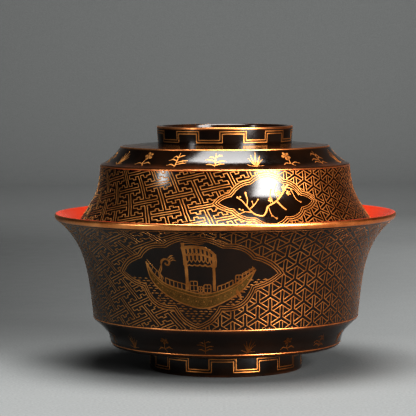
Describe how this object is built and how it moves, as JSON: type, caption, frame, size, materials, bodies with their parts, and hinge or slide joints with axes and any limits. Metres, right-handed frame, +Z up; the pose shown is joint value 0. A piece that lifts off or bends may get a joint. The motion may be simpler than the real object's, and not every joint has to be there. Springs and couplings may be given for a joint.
{
  "type": "lidded lacquer bowl",
  "caption": "Turned lidded soup bowl with a flared rim, a stepped base on a foot ring, and a lid with a hollow knob ring; dark lacquer with gilt line patterns, vermilion inside.",
  "frame": {"origin": "centre of the foot ring's resting face", "axes": "+Z up along the turning axis; -Y towards the front panels"},
  "size_m": [0.121, 0.121, 0.086],
  "materials": {
    "wood_core": "bare turned wood, hidden under the lacquer",
    "black_lacquer": "deep brown-black polished lacquer with gilt line patterns",
    "vermilion_lacquer": "polished vermilion lacquer",
    "gilding": "sprinkled and polished gold, warm copper tone"
  },
  "bodies": {
    "bowl": {"bowl_core": "wood_core", "bowl_foot_ring": "black_lacquer", "bowl_outer_coat": "black_lacquer", "bowl_recess_coat": "black_lacquer", "bowl_lining": "vermilion_lacquer", "bowl_rim_gilding": "gilding", "bowl_corner_line": "gilding", "bowl_base_line": "gilding"},
    "lid": {"lid_core": "wood_core", "lid_knob_ring": "black_lacquer", "lid_outer_coat": "black_lacquer", "lid_recess_coat": "black_lacquer", "lid_lining": "vermilion_lacquer", "lid_lip_gilding": "gilding", "lid_shoulder_line": "gilding", "lid_top_line": "gilding", "lid_knob_gilding": "gilding"}
  },
  "joints": [
    {"name": "lid_lift", "type": "slide", "parent": "bowl", "child": "lid", "axis": [0, 0, 1], "range_m": [0, 0.04]}
  ]
}
